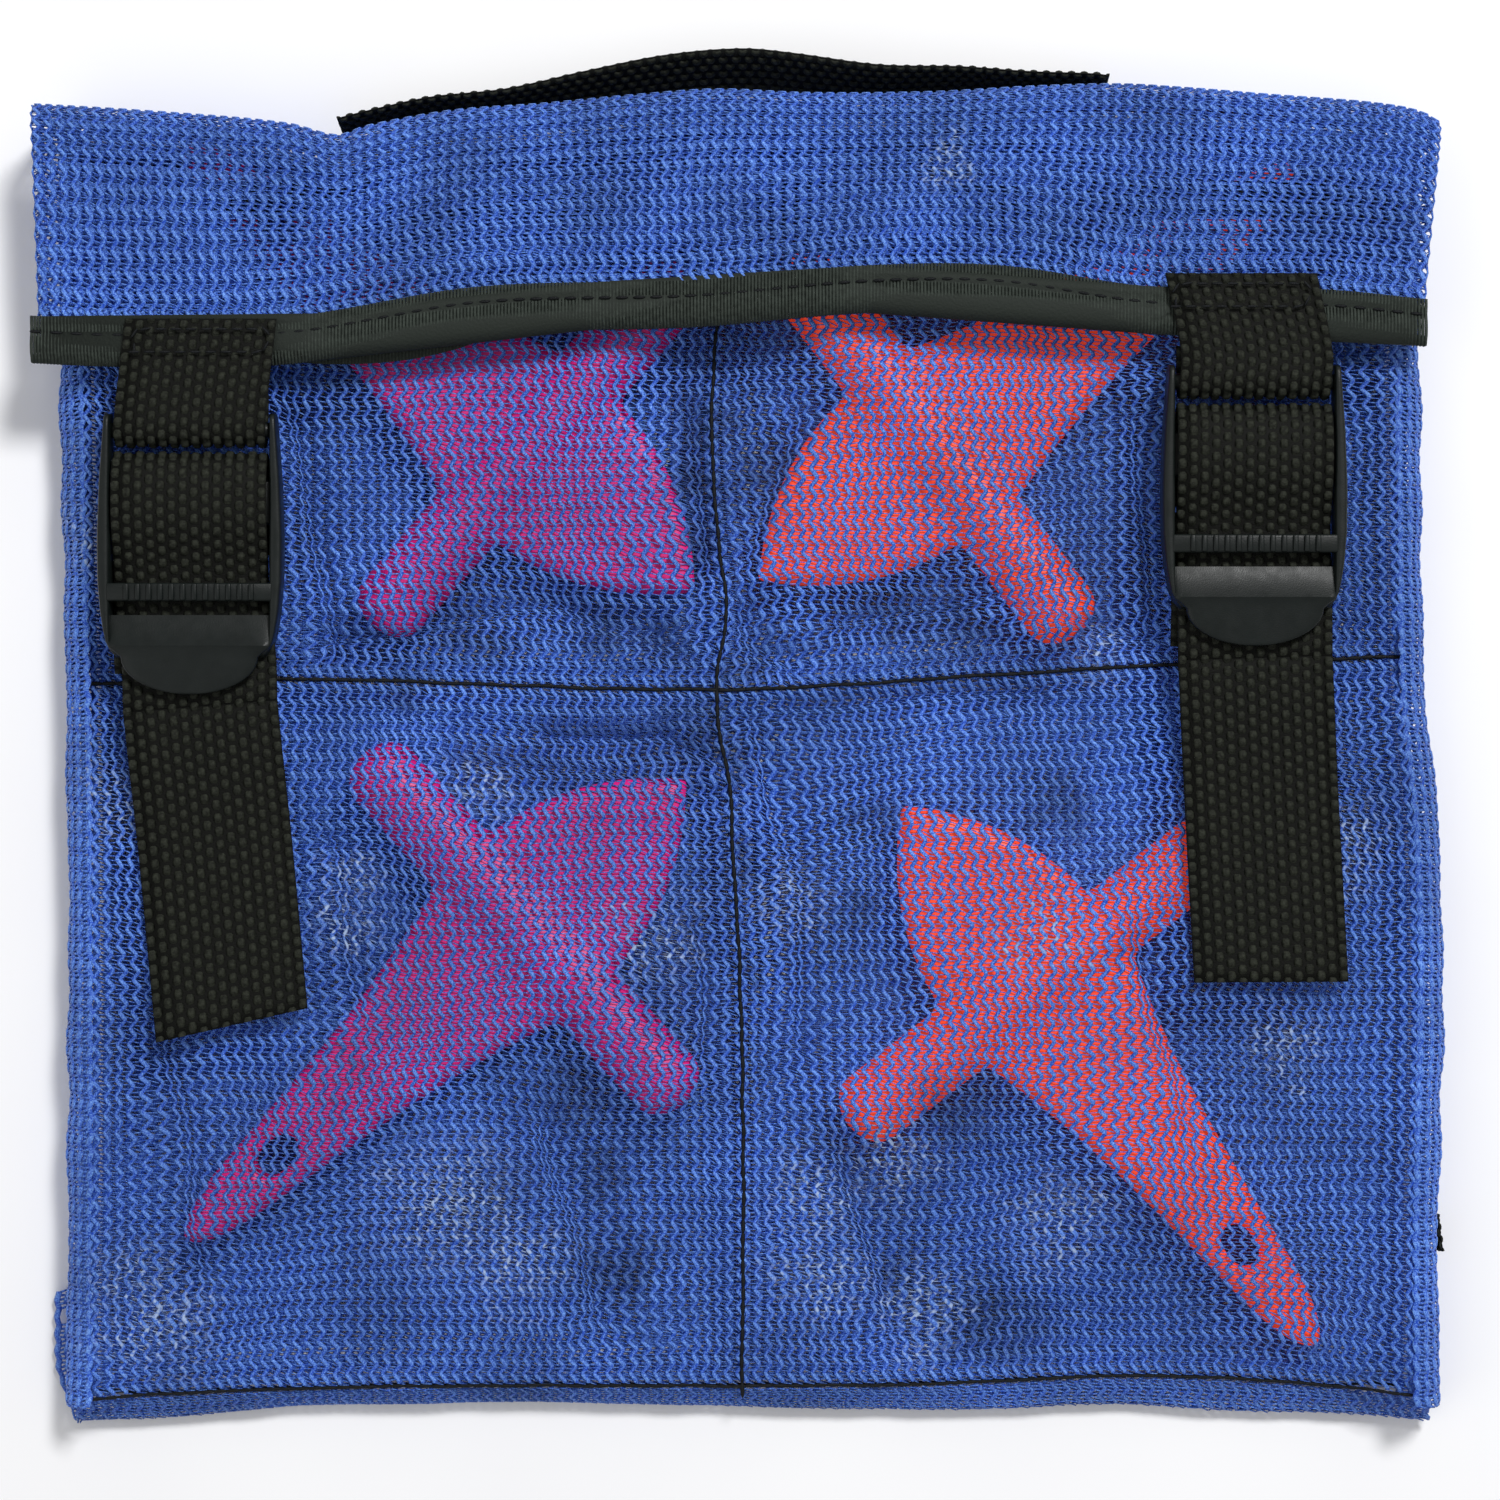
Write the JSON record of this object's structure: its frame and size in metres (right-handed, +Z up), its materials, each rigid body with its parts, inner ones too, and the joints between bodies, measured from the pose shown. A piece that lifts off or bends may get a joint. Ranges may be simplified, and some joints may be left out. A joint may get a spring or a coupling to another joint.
{
  "type": "mesh ball bag",
  "caption": "Flat mesh ball bag with a buckled fold-over flap, webbing straps and handle, and stitched pockets that hold cross-shaped throwing toys.",
  "frame": {"origin": "centre of the bag's bounding box, on the surface it lies on", "axes": "+X across the bag, +Y towards the carry handle, +Z up through the bag's thickness, from the back panel to the flap"},
  "size_m": [0.228, 0.2213, 0.02],
  "materials": {
    "mesh_cloth": "warp-knit polyester mesh",
    "binding_tape": "ribbed grosgrain",
    "webbing": "woven polypropylene",
    "thread": "sewing thread",
    "buckle_plastic": "moulded, fine texture",
    "magenta_rubber": "moulded, satin",
    "red_rubber": "moulded, satin"
  },
  "bodies": {
    "root": {"back_panel": "mesh_cloth", "front_panel_lower": "mesh_cloth", "front_panel_upper": "mesh_cloth", "pocket_mouth_binding": "binding_tape", "bottom_hem": "mesh_cloth", "gusset_left": "mesh_cloth", "gusset_right": "mesh_cloth", "gusset_top": "mesh_cloth", "corner_fold": "mesh_cloth", "side_strap_end": "webbing", "centre_seam_upper": "thread", "centre_seam_lower": "thread", "cross_seam": "thread", "bottom_seam": "thread", "handle_end_left": "webbing", "handle_end_right": "webbing", "left_standing_strap": "webbing", "right_standing_strap": "webbing", "toy_upper_left": "magenta_rubber", "toy_lower_left": "magenta_rubber", "toy_upper_right": "red_rubber", "toy_lower_right": "red_rubber"},
    "flap": {"flap_panel": "mesh_cloth", "flap_lining": "mesh_cloth", "flap_binding": "binding_tape", "binding_stitch_left_edge": "thread", "binding_stitch_middle": "thread", "binding_stitch_right_edge": "thread", "left_fixed_loop": "webbing", "left_loop_stitch": "thread", "right_fixed_loop": "webbing", "right_loop_stitch": "thread"},
    "left_buckle": {"left_buckle": "buckle_plastic", "left_threaded_webbing": "webbing"},
    "right_buckle": {"right_buckle": "buckle_plastic", "right_threaded_webbing": "webbing"},
    "left_tail": {"left_strap_tail": "webbing"},
    "right_tail": {"right_strap_tail": "webbing"},
    "handle": {"handle": "webbing"}
  },
  "joints": [
    {"name": "flap_hinge", "type": "hinge", "parent": "root", "child": "flap", "pos_m": [0, 0.1028, 0.0148], "axis": [-1, 0, 0], "range_deg": [0, 180]},
    {"name": "left_buckle_tilt", "type": "hinge", "parent": "flap", "child": "left_buckle", "pos_m": [-0.0875, 0.0502, 0.0162], "axis": [-1, 0, 0], "range_deg": [0, 45]},
    {"name": "right_buckle_tilt", "type": "hinge", "parent": "flap", "child": "right_buckle", "pos_m": [0.0813, 0.0579, 0.0162], "axis": [-1, 0, 0], "range_deg": [0, 45]},
    {"name": "left_tail_lift", "type": "hinge", "parent": "left_buckle", "child": "left_tail", "pos_m": [-0.0875, 0.0062, 0.01605], "axis": [-1, 0, 0], "range_deg": [0, 90]},
    {"name": "right_tail_lift", "type": "hinge", "parent": "right_buckle", "child": "right_tail", "pos_m": [0.0813, 0.0139, 0.01605], "axis": [-1, 0, 0], "range_deg": [0, 90]},
    {"name": "handle_fold", "type": "hinge", "parent": "root", "child": "handle", "pos_m": [-0.0025, 0.1029, 0.0002], "axis": [-1, 0, 0], "range_deg": [0, 85]}
  ]
}
